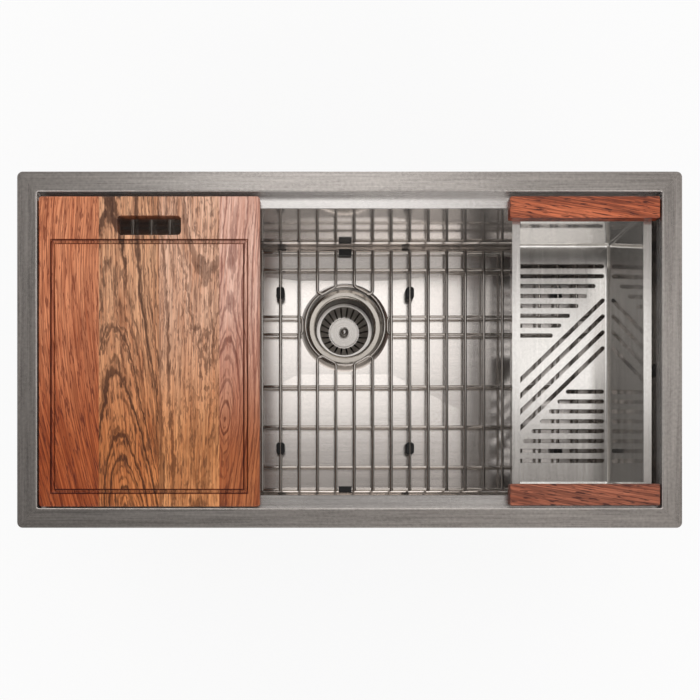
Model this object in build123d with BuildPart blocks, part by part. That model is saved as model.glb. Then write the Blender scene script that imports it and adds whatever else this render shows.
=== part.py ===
from build123d import *
import os
from math import ceil, cos, radians, sqrt, tan

os.makedirs("parts", exist_ok=True)

# Frame: origin at the middle of the opening in the rim's top plane, +X right, +Y to the rear, +Z up

# Bowl sheet and rim
rim_length = 840.0
rim_width = 450.0
rim_border = 25.0
rim_corner = 7.0
sheet = 1.5
bend_inside = 0.3
corner_ease = 0.4

# Bowl depth, ledges and floor
ledge_depth = 20.0
ledge_width = 16.0
bowl_depth = 246.0
floor_bend = 12.0
floor_fall = 4.0
dish_border = 4.0
drain_rear_gap = 117.0
sump_depth = 3.0
sump_flare = 7.75
sump_play = 2.0

# Sound pads
pad_thickness = 3.0
pad_corner = 12.0
pad_inset = 30.0
floor_pad_margin = 15.0
wall_pad_end = 60.0
wall_pad_drop = 45.0
wall_pad_low = 61.0

# Strainer
body_radius = 44.5
body_wall = 1.5
hole_play = 1.0
flange_reach = 11.75
flange_thickness = 2.0
flange_edge = 0.7
flange_slope = 3.9
flange_roll = 4.0
flange_seal_thickness = 1.0
shoulder_drop = 32.0
shoulder_width = 4.5
cup_draw = 1.5
cup_bend = 3.0
outlet_radius = 19.5
tail_radius = 24.0
tail_length = 24.0
thread_pitch = 3.0
thread_depth = 0.6
thread_play = 0.1
gasket_thickness = 3.0
friction_thickness = 1.0
gasket_width = 12.5
nut_height = 11.0
nut_wall = 6.5
nut_lugs = 8
nut_lug_width = 9.0
nut_lug_reach = 4.5
nut_edge = 1.1

# Basket and stopper
basket_play = 1.0
basket_wall = 1.0
basket_bend = 3.0
basket_depth = 21.0
basket_floor_gap = 2.5
slot_count = 22
slot_width = 2.6
bush_wall = 3.7
bush_length = 6.0
stem_radius = 4.0
stem_play = 0.3
fit_play = 0.05
ring_section = 0.9
disc_radius = 22.0
disc_thickness = 1.5
disc_play = 0.3
knob_wall = 1.2
knob_bulge = 1.8
knob_rise = 10.0
knob_blend = 1.7
stem_grip = 5.0
stem_tail = 2.0
stem_lead = 0.8
stopper_travel = 8.0
stopper_play = 1.0
stopper_lap = 8.5
stopper_thickness = 4.0
stopper_edge = 1.3
washer_radius = 13.0
washer_thickness = 1.5
stem_nut_radius = 7.5
stem_nut_height = 4.0

# Bottom grid
wire = 4.2
frame_wire = 5.0
weld_gap = 0.05
grid_height = 18.0
grid_wall_gap = 6.5
frame_corner = 12.0
wire_pitch = 27.25
wire_overhang = 2.0
long_front_inset = 33.1
long_rear_inset = 25.6
long_pitch = 59.4
ring_gap = 2.25
ring_wire_half_gap = 13.0
ring_bend = 6.0
foot_width = 12.0
foot_length = 17.5
foot_rise = 1.2
foot_slit = 2.4
foot_gap = 0.2
foot_corner = 4.0
foot_inner_step = 3
foot_outer_step = 3
foot_inset = 60.5
bumper_length = 19.0
bumper_section = 9.4
rubber_edge = 1.5

# Cutting board
board_width = 280.0
board_thickness = 19.0
board_left_gap = 1.5
board_front_gap = 1.5
board_rear_gap = 5.5
board_corner = 4.0
board_top_edge = 2.0
board_low_edge = 3.0
stave_width = 76.3
hand_slot_length = 80.0
hand_slot_width = 24.0
hand_slot_corner = 5.0
hand_slot_border = 24.8
groove_radius = 3.0
groove_corner = 3.4
groove_side = 18.0
groove_front = 19.5
groove_slot_gap = 8.7

# Colander
pan_sheet = 1.2
pan_width = 158.4
pan_depth = 130.0
pan_draft = 4.8
pan_bend = 4.0
pan_rim = 10.0
pan_end_gap = 4.6
pan_flange = 10.0
handle_overhang = 6.0
handle_thickness = 18.0
handle_right_gap = 1.5
handle_front_gap = 3.0
handle_rear_gap = 5.0
handle_top_edge = 2.0
handle_low_edge = 2.0
handle_corner = 2.6
pan_slot_width = 6.0
pan_slot_pitch = 13.85
pan_slot_step = 12.0
pan_slot_short = 53.6
pan_slot_side = 5.5
pan_slot_end = 31.0
pan_slot_web = 5.5
pan_row_shift = 1.9
pan_diagonal_shift = -1.8
pan_diagonal_pitch = 22.4
pan_diagonal_angle = 44.0
screw_radius = 1.9
screw_length = 12.0
screw_head_radius = 3.4
screw_head_height = 2.2
screw_spread = 110.0
screw_play = 0.3

# Worked out from the values above
opening_length = rim_length - 2 * rim_border
opening_width = rim_width - 2 * rim_border
bowl_width = opening_width - 2 * ledge_width
drain_setback = bowl_width / 2 - drain_rear_gap
nose_radius = bend_inside + sheet
end_radius = nose_radius + corner_ease
ledge_corner = end_radius + corner_ease / 2
flange_radius = body_radius + flange_reach
sump_floor_radius = flange_radius + sump_play
sump_radius = sump_floor_radius + sump_flare
dish_half = sump_radius + dish_border
floor_half_length = opening_length / 2 - end_radius
floor_half_width = bowl_width / 2 - floor_bend

dish_z = -bowl_depth - floor_fall
seat_z = dish_z - sump_depth
under_z = seat_z - sheet
flange_z = seat_z + flange_seal_thickness
shoulder_z = seat_z - shoulder_drop
basket_floor_z = shoulder_z + basket_wall - basket_depth
bush_end_z = basket_floor_z - basket_wall - bush_length
seal_top_z = bush_end_z - stopper_play - stopper_travel
cup_floor_z = seal_top_z - stopper_thickness
tail_end_z = cup_floor_z - body_wall - tail_length
disc_z = basket_floor_z + disc_play
knob_z = disc_z + disc_thickness

cup_radius = body_radius - body_wall
seat_radius = cup_radius - shoulder_width
drain_axis = Axis((0, drain_setback, 0), (0, 0, 1))
drain_section = Plane(origin=(0, drain_setback, 0), x_dir=(1, 0, 0), z_dir=(0, -1, 0))


def drain_plane(height):
    # Level plane centred on the drain
    return Plane(origin=(0, drain_setback, height))


def ring_piece(inner, outer, low, thickness):
    # Flat ring round the drain
    with BuildPart() as ring:
        with BuildSketch(drain_plane(low)):
            Circle(outer)
            Circle(inner, mode=Mode.SUBTRACT)
        extrude(amount=thickness)
    return ring.part


# Sink bowl: one folded sheet with a flat rim, a ledge front and rear and a floor creased to the drain


def bowl_space(grow):
    # The room inside the bowl, or with the sheet as grow the outside of the bowl
    half_open = opening_width / 2 + grow
    half_bowl = bowl_width / 2 + grow
    ledge_z = -ledge_depth - grow
    floor_z = -bowl_depth - grow
    with BuildPart() as space:
        with BuildSketch(Plane.YZ) as profile:
            with BuildLine():
                Polyline(
                    (-half_open, 0),
                    (half_open, 0),
                    (half_open, ledge_z),
                    (half_bowl, ledge_z),
                    (half_bowl, floor_z),
                    (-half_bowl, floor_z),
                    (-half_bowl, ledge_z),
                    (-half_open, ledge_z),
                    close=True,
                )
            make_face()
            floor_points = profile.vertices().group_by(Axis.Y)[0]
            ledge_points = profile.vertices().group_by(Axis.Y)[1].sort_by(Axis.X)
            fillet(floor_points, floor_bend + grow)
            fillet([ledge_points[0], ledge_points[3]], ledge_corner + grow)
            fillet([ledge_points[1], ledge_points[2]], nose_radius - grow)
        extrude(amount=opening_length / 2 + grow, both=True)
        end_edges = space.faces().filter_by(Axis.X).edges().group_by(Axis.Z)[:-1]
        fillet([edge for level in end_edges for edge in level], end_radius + grow)
        with BuildSketch(Plane.XY.offset(floor_z)):
            Rectangle(2 * floor_half_length, 2 * floor_half_width)
        with BuildSketch(drain_plane(floor_z - floor_fall)):
            Rectangle(2 * dish_half, 2 * dish_half)
        loft(ruled=True)
        with Locations((0, drain_setback, floor_z - floor_fall - sump_depth / 2)):
            Cone(sump_floor_radius, sump_radius, sump_depth)
    return space.part


with BuildPart() as sink_bowl:
    with BuildSketch(Plane.XY.offset(-sheet)):
        RectangleRounded(rim_length, rim_width, rim_corner)
    extrude(amount=sheet)
    add(bowl_space(sheet))
    add(bowl_space(0), mode=Mode.SUBTRACT)
    with Locations((0, drain_setback, seat_z)):
        Hole(body_radius + hole_play)
    rim_face = sink_bowl.faces().sort_by(Axis.Z)[-1]
    fillet(rim_face.inner_wires()[0].edges(), nose_radius)
sink_bowl.part.label = "sink_bowl"
export_step(sink_bowl.part, "parts/sink_bowl.step")


def floor_height(x, y):
    # Height of the creased floor at a point
    along = (floor_half_length - abs(x)) / (floor_half_length - dish_half)
    front = (floor_half_width + y) / (floor_half_width + drain_setback - dish_half)
    rear = (floor_half_width - y) / (floor_half_width - drain_setback - dish_half)
    return -bowl_depth - floor_fall * min(along, front, rear, 1.0)


# Sound pads, glued under the two long floor facets and on the four walls
facet_run = floor_half_length - dish_half
for name, side in (("floor_pad_left", -1), ("floor_pad_right", 1)):
    facet = Plane(
        origin=(side * floor_half_length, 0, -bowl_depth - sheet),
        x_dir=(-side * facet_run, 0, -floor_fall),
        z_dir=(side * floor_fall, 0, -facet_run),
    )
    outline = []
    for distance in (pad_inset, facet_run - pad_inset):
        share = distance / facet_run
        low = -floor_half_width + share * (floor_half_width + drain_setback - dish_half)
        high = floor_half_width - share * (floor_half_width - drain_setback - dish_half)
        outline.append((distance, side * (low + floor_pad_margin)))
        outline.append((distance, side * (high - floor_pad_margin)))
    with BuildPart() as floor_pad:
        with BuildSketch(facet) as pad_face:
            with BuildLine():
                Polyline(outline[0], outline[1], outline[3], outline[2], close=True)
            make_face()
            fillet(pad_face.vertices(), pad_corner)
        extrude(amount=pad_thickness)
    floor_pad.part.label = name
    export_step(floor_pad.part, f"parts/{name}.step")

wall_pad_height = bowl_depth - wall_pad_drop - wall_pad_low
wall_pad_z = -wall_pad_drop - wall_pad_height / 2
half_wall_length = opening_length / 2 + sheet
half_wall_width = bowl_width / 2 + sheet
long_pad = opening_length - 2 * wall_pad_end
end_pad = bowl_width - 2 * wall_pad_end
wall_pads = (
    ("wall_pad_front", (0, -half_wall_width, wall_pad_z), (0, -1, 0), long_pad),
    ("wall_pad_rear", (0, half_wall_width, wall_pad_z), (0, 1, 0), long_pad),
    ("wall_pad_left", (-half_wall_length, 0, wall_pad_z), (-1, 0, 0), end_pad),
    ("wall_pad_right", (half_wall_length, 0, wall_pad_z), (1, 0, 0), end_pad),
)
for name, middle, outward, length in wall_pads:
    along = (outward[1], outward[0], 0)
    with BuildPart() as wall_pad:
        with BuildSketch(Plane(origin=middle, x_dir=along, z_dir=outward)):
            RectangleRounded(length, wall_pad_height, pad_corner)
        extrude(amount=pad_thickness)
    wall_pad.part.label = name
    export_step(wall_pad.part, f"parts/{name}.step")

# Strainer body: flange, cup with a shoulder for the basket, and a threaded tail round the outlet
flange_top = flange_z + flange_thickness
under_roll = flange_roll - body_wall
lower_outside = seat_radius + body_wall
thread_start = under_z - gasket_thickness - friction_thickness
thread_count = int((thread_start - shoulder_z) / thread_pitch)
thread_points = []
for turn in range(thread_count):
    crest = thread_start - turn * thread_pitch
    thread_points.append((body_radius, crest))
    thread_points.append((body_radius - thread_depth, crest - thread_pitch / 2))
thread_points.reverse()
with BuildPart() as strainer_body:
    with BuildSketch(drain_section) as strainer_profile:
        with BuildLine():
            Polyline(
                (flange_radius, flange_z),
                (flange_radius, flange_z + flange_edge),
                (flange_radius - flange_slope, flange_top),
                (cup_radius, flange_top),
                (cup_radius, shoulder_z),
                (seat_radius, shoulder_z),
                (seat_radius - cup_draw, cup_floor_z),
                (outlet_radius, cup_floor_z),
                (outlet_radius, tail_end_z),
                (tail_radius, tail_end_z),
                (tail_radius, cup_floor_z - body_wall),
                (lower_outside - cup_draw, cup_floor_z - body_wall),
                (lower_outside, shoulder_z - body_wall),
                (body_radius, shoulder_z - body_wall),
                *thread_points,
                (body_radius, flange_z),
                close=True,
            )
        make_face()
        bends = (
            ((cup_radius, flange_top), flange_roll),
            ((body_radius, flange_z), under_roll),
            ((seat_radius - cup_draw, cup_floor_z), cup_bend),
        )
        for corner, bend in bends:
            fillet(strainer_profile.vertices().sort_by_distance(corner)[0], bend)
    revolve(axis=drain_axis)
strainer_body.part.label = "strainer_body"
export_step(strainer_body.part, "parts/strainer_body.step")

# Rings and nut that clamp the strainer to the bowl
clamp_bore = body_radius + hole_play
clamp_outside = clamp_bore + gasket_width
seal_bore = body_radius + under_roll + fit_play
with BuildPart() as flange_seal:
    add(ring_piece(seal_bore, flange_radius - flange_edge, seat_z, flange_seal_thickness))
flange_seal.part.label = "flange_seal"
export_step(flange_seal.part, "parts/flange_seal.step")

gasket_low = under_z - gasket_thickness
with BuildPart() as strainer_gasket:
    add(ring_piece(clamp_bore, clamp_outside, gasket_low, gasket_thickness))
strainer_gasket.part.label = "strainer_gasket"
export_step(strainer_gasket.part, "parts/strainer_gasket.step")

friction_low = gasket_low - friction_thickness
with BuildPart() as friction_ring:
    add(ring_piece(clamp_bore, clamp_outside - friction_thickness, friction_low, friction_thickness))
friction_ring.part.label = "friction_ring"
export_step(friction_ring.part, "parts/friction_ring.step")

nut_bore = body_radius + thread_play
nut_outside = nut_bore + nut_wall
with BuildPart() as lock_nut:
    with BuildSketch(drain_plane(friction_low - nut_height)):
        Circle(nut_outside)
        with PolarLocations(nut_outside, nut_lugs):
            Rectangle(2 * nut_lug_reach, nut_lug_width)
        Circle(nut_bore, mode=Mode.SUBTRACT)
    extrude(amount=nut_height)
    fillet(lock_nut.faces().sort_by(Axis.Z)[0].outer_wire().edges(), nut_edge)
lock_nut.part.label = "lock_nut"
export_step(lock_nut.part, "parts/lock_nut.step")

# Strainer basket: slotted cup on the strainer's shoulder, with a bush for the stopper's stem
basket_radius = cup_radius - basket_play
basket_mouth = seat_radius - basket_play - basket_wall / 2
basket_floor_radius = disc_radius + basket_floor_gap
stem_hole = stem_radius + stem_play
bush_radius = stem_hole + bush_wall
slot_outer = basket_mouth - basket_wall / 2
slot_inner = disc_radius + slot_width / 2
slot_length = slot_outer - slot_inner
ring_groove_z = (bush_end_z + basket_floor_z) / 2
ring_room = 2 * (ring_section + fit_play)
with BuildPart() as strainer_basket:
    with BuildSketch(drain_section) as basket_profile:
        with BuildLine():
            Polyline(
                (basket_radius, shoulder_z),
                (basket_radius, shoulder_z + basket_wall),
                (basket_mouth, shoulder_z + basket_wall),
                (basket_floor_radius, basket_floor_z),
                (stem_hole, basket_floor_z),
                (stem_hole, bush_end_z),
                (bush_radius, bush_end_z),
                (bush_radius, basket_floor_z - basket_wall),
                (basket_floor_radius, basket_floor_z - basket_wall),
                (basket_mouth + basket_wall / 2, shoulder_z),
                close=True,
            )
        make_face()
        inside_bend = basket_profile.vertices().sort_by_distance((basket_floor_radius, basket_floor_z))[0]
        fillet(inside_bend, basket_bend)
    revolve(axis=drain_axis)
    with BuildSketch(drain_plane(bush_end_z)):
        with PolarLocations((slot_inner + slot_outer) / 2, slot_count):
            SlotOverall(slot_length, slot_width)
    extrude(amount=shoulder_z - bush_end_z - basket_wall / 2, mode=Mode.SUBTRACT)
    with Locations((0, drain_setback, ring_groove_z)):
        Cylinder(stem_radius + ring_room, ring_room, mode=Mode.SUBTRACT)
strainer_basket.part.label = "strainer_basket"
export_step(strainer_basket.part, "parts/strainer_basket.step")

with BuildPart() as stem_ring:
    with Locations((0, drain_setback, ring_groove_z)):
        Torus(stem_radius + fit_play + ring_section, ring_section)
stem_ring.part.label = "stem_ring"
export_step(stem_ring.part, "parts/stem_ring.step")

# Stopper: disc, knob, stem and seal, which slide together in the basket's bush
stem_top = knob_z + stem_grip
knob_neck = stem_radius + knob_wall
knob_radius = knob_neck + knob_bulge
nut_low = cup_floor_z - washer_thickness - stem_nut_height
with BuildPart() as basket_disc:
    with BuildSketch(drain_plane(disc_z)):
        Circle(disc_radius)
        Circle(stem_radius + fit_play, mode=Mode.SUBTRACT)
    extrude(amount=disc_thickness)
    fillet(basket_disc.faces().sort_by(Axis.Z)[-1].outer_wire().edges(), disc_thickness / 2)
basket_disc.part.label = "basket_disc"
export_step(basket_disc.part, "parts/basket_disc.step")

with BuildPart() as pull_knob:
    with BuildSketch(drain_plane(knob_z)):
        Circle(knob_neck)
    extrude(amount=knob_rise)
    with Locations((0, drain_setback, knob_z + knob_rise)):
        Sphere(knob_radius)
    neck_line = pull_knob.edges().filter_by(GeomType.CIRCLE).sort_by(Axis.Z)[1]
    fillet(neck_line, knob_blend)
    with BuildSketch(drain_plane(knob_z)):
        Circle(stem_radius + fit_play)
    extrude(amount=stem_grip + fit_play, mode=Mode.SUBTRACT)
pull_knob.part.label = "pull_knob"
export_step(pull_knob.part, "parts/pull_knob.step")

with BuildPart() as stopper_stem:
    with BuildSketch(drain_plane(nut_low - stem_tail)):
        Circle(stem_radius)
    extrude(amount=stem_top - nut_low + stem_tail)
    chamfer(stopper_stem.edges().sort_by(Axis.Z)[0], stem_lead)
stopper_stem.part.label = "stopper_stem"
export_step(stopper_stem.part, "parts/stopper_stem.step")

with BuildPart() as stopper_seal:
    add(ring_piece(stem_radius + fit_play, outlet_radius + stopper_lap, cup_floor_z, stopper_thickness))
    fillet(stopper_seal.faces().sort_by(Axis.Z)[-1].outer_wire().edges(), stopper_edge)
stopper_seal.part.label = "stopper_seal"
export_step(stopper_seal.part, "parts/stopper_seal.step")

with BuildPart() as stopper_washer:
    add(ring_piece(stem_radius + fit_play, washer_radius, cup_floor_z - washer_thickness, washer_thickness))
stopper_washer.part.label = "stopper_washer"
export_step(stopper_washer.part, "parts/stopper_washer.step")

with BuildPart() as stopper_nut:
    with BuildSketch(drain_plane(nut_low)):
        RegularPolygon(stem_nut_radius, 6)
        Circle(stem_radius + fit_play, mode=Mode.SUBTRACT)
    extrude(amount=stem_nut_height)
stopper_nut.part.label = "stopper_nut"
export_step(stopper_nut.part, "parts/stopper_nut.step")

# Bottom grid: cross wires lie on the edge wire, long wires and drain ring hang under the cross wires
cross_z = -bowl_depth + grid_height
long_z = cross_z - wire - weld_gap
frame_z = cross_z - wire / 2 - frame_wire / 2 - weld_gap
frame_half_length = opening_length / 2 - grid_wall_gap - frame_wire / 2
frame_half_width = bowl_width / 2 - grid_wall_gap - frame_wire / 2
cross_half = frame_half_width + wire_overhang
long_half = frame_half_length - frame_wire / 2 - weld_gap
ring_radius = flange_radius + ring_gap
ring_clear = ring_radius + wire + weld_gap
cross_count = int((frame_half_length - frame_wire - wire) / wire_pitch + 0.5)
cross_places = [(step + 0.5) * wire_pitch for step in range(cross_count)]
ring_places = [place for place in cross_places if place < ring_radius]
free_places = [place for place in cross_places if place >= ring_radius]
long_room = drain_setback - ring_radius + frame_half_width - long_front_inset
long_first = -frame_half_width + long_front_inset
long_places = [long_first + step * long_pitch for step in range(ceil(long_room / long_pitch))]
long_places.append(frame_half_width - long_rear_inset)
foot_steps = (foot_inner_step, cross_count - foot_outer_step)
foot_place = frame_half_width - foot_inset


def straight_wire(start, end, diameter):
    # Round wire between two points
    line = Edge.make_line(start, end)
    with BuildPart() as piece:
        with BuildSketch(Plane(origin=start, z_dir=line.tangent_at(0))):
            Circle(diameter / 2)
        extrude(amount=line.length)
    return piece.part


def bent_wire(points, height, bend, diameter, closed=False):
    # Round wire along straight runs with rounded corners, all at one height
    with BuildPart() as piece:
        with BuildLine(Plane.XY.offset(height)) as run:
            FilletPolyline(*points, radius=bend, close=closed)
        with BuildSketch(Plane(origin=run.line @ 0, z_dir=run.line % 0)):
            Circle(diameter / 2)
        sweep(path=run.line)
    return piece.part


with BuildPart() as grid_frame:
    corners = [
        (frame_half_length, -frame_half_width),
        (frame_half_length, frame_half_width),
        (-frame_half_length, frame_half_width),
        (-frame_half_length, -frame_half_width),
    ]
    add(bent_wire(corners, frame_z, frame_corner, frame_wire, closed=True))
grid_frame.part.label = "grid_frame"
export_step(grid_frame.part, "parts/grid_frame.step")

with BuildPart() as grid_cross_wires:
    for place in free_places:
        for side in (-1, 1):
            start = (side * place, -cross_half, cross_z)
            add(straight_wire(start, (side * place, cross_half, cross_z), wire))
    meets = [(place, sqrt(ring_radius**2 - place**2)) for place in ring_places]
    odd = len(meets) % 2
    for side in (-1, 1):
        for way in (-1, 1):
            for place, reach in meets[:odd]:
                start = (side * place, way * cross_half, cross_z)
                add(straight_wire(start, (side * place, drain_setback + way * reach, cross_z), wire))
            for inner, outer in zip(meets[odd::2], meets[odd + 1 :: 2]):
                loop = [
                    (side * outer[0], way * cross_half),
                    (side * outer[0], drain_setback + way * outer[1]),
                    (side * inner[0], drain_setback + way * inner[1]),
                    (side * inner[0], way * cross_half),
                ]
                add(bent_wire(loop, cross_z, ring_bend, wire))
grid_cross_wires.part.label = "grid_cross_wires"
export_step(grid_cross_wires.part, "parts/grid_cross_wires.step")

with BuildPart() as grid_long_wires:
    for place in long_places:
        add(straight_wire((-long_half, place, long_z), (long_half, place, long_z), wire))
    for side in (-1, 1):
        loop = [
            (side * long_half, drain_setback + ring_wire_half_gap),
            (side * ring_clear, drain_setback + ring_wire_half_gap),
            (side * ring_clear, drain_setback - ring_wire_half_gap),
            (side * long_half, drain_setback - ring_wire_half_gap),
        ]
        add(bent_wire(loop, long_z, ring_bend, wire))
grid_long_wires.part.label = "grid_long_wires"
export_step(grid_long_wires.part, "parts/grid_long_wires.step")

with BuildPart() as grid_drain_ring:
    with Locations((0, drain_setback, long_z)):
        Torus(ring_radius, wire / 2)
grid_drain_ring.part.label = "grid_drain_ring"
export_step(grid_drain_ring.part, "parts/grid_drain_ring.step")


def rubber_foot(x, y):
    # Foot clipped on a cross wire, cut to the height of the floor under it
    corners = [(x + i * foot_width / 2, y + j * foot_length / 2) for i in (-1, 1) for j in (-1, 1)]
    low = max(floor_height(*corner) for corner in corners) + foot_gap
    high = cross_z + wire / 2 + foot_rise
    with BuildPart() as foot:
        with BuildSketch(Plane(origin=(x, y, low))):
            RectangleRounded(foot_width, foot_length, foot_corner)
        extrude(amount=high - low)
        fillet(foot.faces().sort_by(Axis.Z)[-1].edges(), rubber_edge)
        fillet(foot.faces().sort_by(Axis.Z)[0].edges(), rubber_edge)
        with Locations((x, y, cross_z)):
            Cylinder(wire / 2 + fit_play, foot_length, rotation=(90, 0, 0), mode=Mode.SUBTRACT)
        with BuildSketch(Plane(origin=(x, y, cross_z))):
            Rectangle(foot_slit, foot_length)
        extrude(amount=high - cross_z, mode=Mode.SUBTRACT)
    return foot.part


with BuildPart() as grid_feet:
    for step in foot_steps:
        for side in (-1, 1):
            for way in (-1, 1):
                add(rubber_foot(side * cross_places[step], way * foot_place))
grid_feet.part.label = "grid_feet"
export_step(grid_feet.part, "parts/grid_feet.step")

with BuildPart() as grid_bumpers:
    for way in (-1, 1):
        ends = (
            ((-bumper_length / 2, way * frame_half_width, frame_z), (1, 0, 0)),
            ((way * frame_half_length, -bumper_length / 2, frame_z), (0, 1, 0)),
        )
        for start, along in ends:
            with BuildSketch(Plane(origin=start, z_dir=along)):
                RectangleRounded(bumper_section, bumper_section, rubber_edge)
                Circle(frame_wire / 2 + fit_play, mode=Mode.SUBTRACT)
            extrude(amount=bumper_length)
grid_bumpers.part.label = "grid_bumpers"
export_step(grid_bumpers.part, "parts/grid_bumpers.step")

# Cutting board: four glued staves with a hand slot and a juice groove, lying on the ledges
board_left = -opening_length / 2 + board_left_gap
board_front = -opening_width / 2 + board_front_gap
board_rear = opening_width / 2 - board_rear_gap
board_length = board_rear - board_front
board_top = -ledge_depth + board_thickness
board_middle_x = board_left + board_width / 2
board_middle_y = (board_front + board_rear) / 2
slot_middle_y = board_rear - hand_slot_border - hand_slot_width / 2
groove_left = board_left + groove_side
groove_right = board_left + board_width - groove_side
groove_low = board_front + groove_front
groove_high = board_rear - hand_slot_border - hand_slot_width - groove_slot_gap
with BuildPart() as board:
    with BuildSketch(Plane(origin=(board_middle_x, board_middle_y, -ledge_depth))):
        RectangleRounded(board_width, board_length, board_corner)
    extrude(amount=board_thickness)
    with BuildSketch(Plane(origin=(board_middle_x, slot_middle_y, -ledge_depth))):
        RectangleRounded(hand_slot_length, hand_slot_width, hand_slot_corner)
    extrude(amount=board_thickness, mode=Mode.SUBTRACT)
    fillet(board.faces().sort_by(Axis.Z)[-1].edges(), board_top_edge)
    fillet(board.faces().sort_by(Axis.Z)[0].outer_wire().edges(), board_low_edge)
    groove_corners = [
        (groove_right, groove_low),
        (groove_right, groove_high),
        (groove_left, groove_high),
        (groove_left, groove_low),
    ]
    groove_cut = bent_wire(groove_corners, board_top, groove_corner, 2 * groove_radius, closed=True)
    add(groove_cut, mode=Mode.SUBTRACT)

stave_count = ceil(board_width / stave_width)
stave_edges = [board_left + stave_width * count for count in range(stave_count)]
stave_edges.append(board_left + board_width)
for index in range(stave_count):
    width = stave_edges[index + 1] - stave_edges[index]
    middle = (stave_edges[index + 1] + stave_edges[index]) / 2
    with BuildPart() as board_stave:
        add(board.part)
        with Locations((middle, board_middle_y, -ledge_depth + board_thickness / 2)):
            Box(width, board_length, board_thickness, mode=Mode.INTERSECT)
    board_stave.part.label = f"board_stave_{index + 1}"
    export_step(board_stave.part, f"parts/board_stave_{index + 1}.step")

# Colander: drawn pan that hangs from two wooden handles lying on the ledges
handle_length = pan_width + 2 * pan_rim + 2 * handle_overhang
handle_right = opening_length / 2 - handle_right_gap
colander_x = handle_right - handle_length / 2
handle_front = -opening_width / 2 + handle_front_gap
handle_rear = opening_width / 2 - handle_rear_gap
colander_y = (handle_front + handle_rear) / 2
pan_length = bowl_width - 2 * pan_end_gap - 2 * pan_sheet
pan_half_mouth = pan_length / 2 - pan_flange
handle_width = (handle_rear - handle_front) / 2 - pan_half_mouth
pan_floor_z = -ledge_depth - pan_depth
pan_draw = pan_depth * tan(radians(pan_draft))
pan_corner = pan_bend + corner_ease


def pan_space(grow):
    # The room inside the pan, or with the sheet as grow the outside of the pan
    with BuildPart() as space:
        with BuildSketch(Plane(origin=(colander_x, colander_y, -ledge_depth))):
            Rectangle(pan_width + 2 * grow, pan_length + 2 * grow)
        extrude(amount=-pan_depth - grow, taper=pan_draft)
        level = space.edges().filter_by(Plane.XY)
        upright = [edge for edge in space.edges() if edge not in level]
        fillet(upright, pan_corner + grow)
        fillet(space.faces().sort_by(Axis.Z)[0].edges(), pan_bend + grow)
    return space.part


with BuildPart() as pan_room:
    add(pan_space(0))
    split(bisect_by=Plane.XY.offset(-ledge_depth - pan_sheet), keep=Keep.BOTTOM)

floor_half_x = pan_width / 2 - pan_draw
floor_half_y = pan_length / 2 - pan_draw
slot_half = floor_half_x - pan_slot_side
row_start = floor_half_y - pan_slot_end
row_room = row_start - 1.5 * pan_diagonal_pitch - pan_slot_web
row_count = int(row_room / pan_slot_pitch) + 1
diagonal_length = 2 * slot_half / cos(radians(pan_diagonal_angle))
screw_y = pan_length / 2 - pan_flange / 2
with BuildPart() as colander_pan:
    with BuildSketch(Plane(origin=(colander_x, colander_y, -ledge_depth - pan_sheet))):
        RectangleRounded(pan_width + 2 * pan_rim, pan_length + 2 * pan_sheet, pan_corner)
    extrude(amount=pan_sheet)
    add(pan_space(pan_sheet))
    with BuildSketch(Plane(origin=(colander_x, colander_y, -ledge_depth))):
        Rectangle(pan_width, 2 * pan_half_mouth)
    extrude(amount=-pan_sheet, mode=Mode.SUBTRACT)
    add(pan_room.part, mode=Mode.SUBTRACT)
    with BuildSketch(Plane(origin=(colander_x, colander_y, pan_floor_z))):
        for row in range(row_count):
            length = min(2 * slot_half, pan_slot_short + (row_count - 1 - row) * pan_slot_step)
            shift = (2 * slot_half - length) / 2
            height = row_start - row * pan_slot_pitch
            with Locations((-shift, pan_row_shift + height), (shift, pan_row_shift - height)):
                SlotOverall(length, pan_slot_width)
        for step in (-1.5, -0.5, 0.5, 1.5):
            with Locations((0, pan_diagonal_shift + step * pan_diagonal_pitch)):
                SlotOverall(diagonal_length, pan_slot_width, rotation=pan_diagonal_angle)
    extrude(amount=-2 * pan_sheet, both=True, mode=Mode.SUBTRACT)
    with BuildSketch(Plane(origin=(colander_x, colander_y, -ledge_depth))):
        with GridLocations(screw_spread, 2 * screw_y, 2, 2):
            Circle(screw_radius + screw_play)
    extrude(amount=-pan_sheet, mode=Mode.SUBTRACT)
colander_pan.part.label = "colander_pan"
export_step(colander_pan.part, "parts/colander_pan.step")

for name, way in (("colander_handle_rear", 1), ("colander_handle_front", -1)):
    outer_face = handle_rear if way > 0 else handle_front
    handle_y = outer_face - way * handle_width / 2
    with BuildPart() as handle:
        with BuildSketch(Plane(origin=(colander_x, handle_y, -ledge_depth))):
            RectangleRounded(handle_length, handle_width, handle_corner)
        extrude(amount=handle_thickness)
        fillet(handle.faces().sort_by(Axis.Z)[-1].edges(), handle_top_edge)
        fillet(handle.faces().sort_by(Axis.Z)[0].edges(), handle_low_edge)
        with BuildSketch(Plane(origin=(colander_x, colander_y + way * screw_y, -ledge_depth))):
            with GridLocations(screw_spread, 1, 2, 1):
                Circle(screw_radius + fit_play)
        extrude(amount=screw_length + fit_play, mode=Mode.SUBTRACT)
    handle.part.label = name
    export_step(handle.part, f"parts/{name}.step")

with BuildPart() as colander_screws:
    with BuildSketch(Plane(origin=(colander_x, colander_y, -ledge_depth - pan_sheet - screw_head_height))):
        with GridLocations(screw_spread, 2 * screw_y, 2, 2):
            Circle(screw_head_radius)
    extrude(amount=screw_head_height)
    fillet(colander_screws.faces().group_by(Axis.Z)[0].edges(), screw_head_height / 2)
    with BuildSketch(Plane(origin=(colander_x, colander_y, -ledge_depth - pan_sheet))):
        with GridLocations(screw_spread, 2 * screw_y, 2, 2):
            Circle(screw_radius)
    extrude(amount=pan_sheet + screw_length)
colander_screws.part.label = "colander_screws"
export_step(colander_screws.part, "parts/colander_screws.step")
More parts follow.
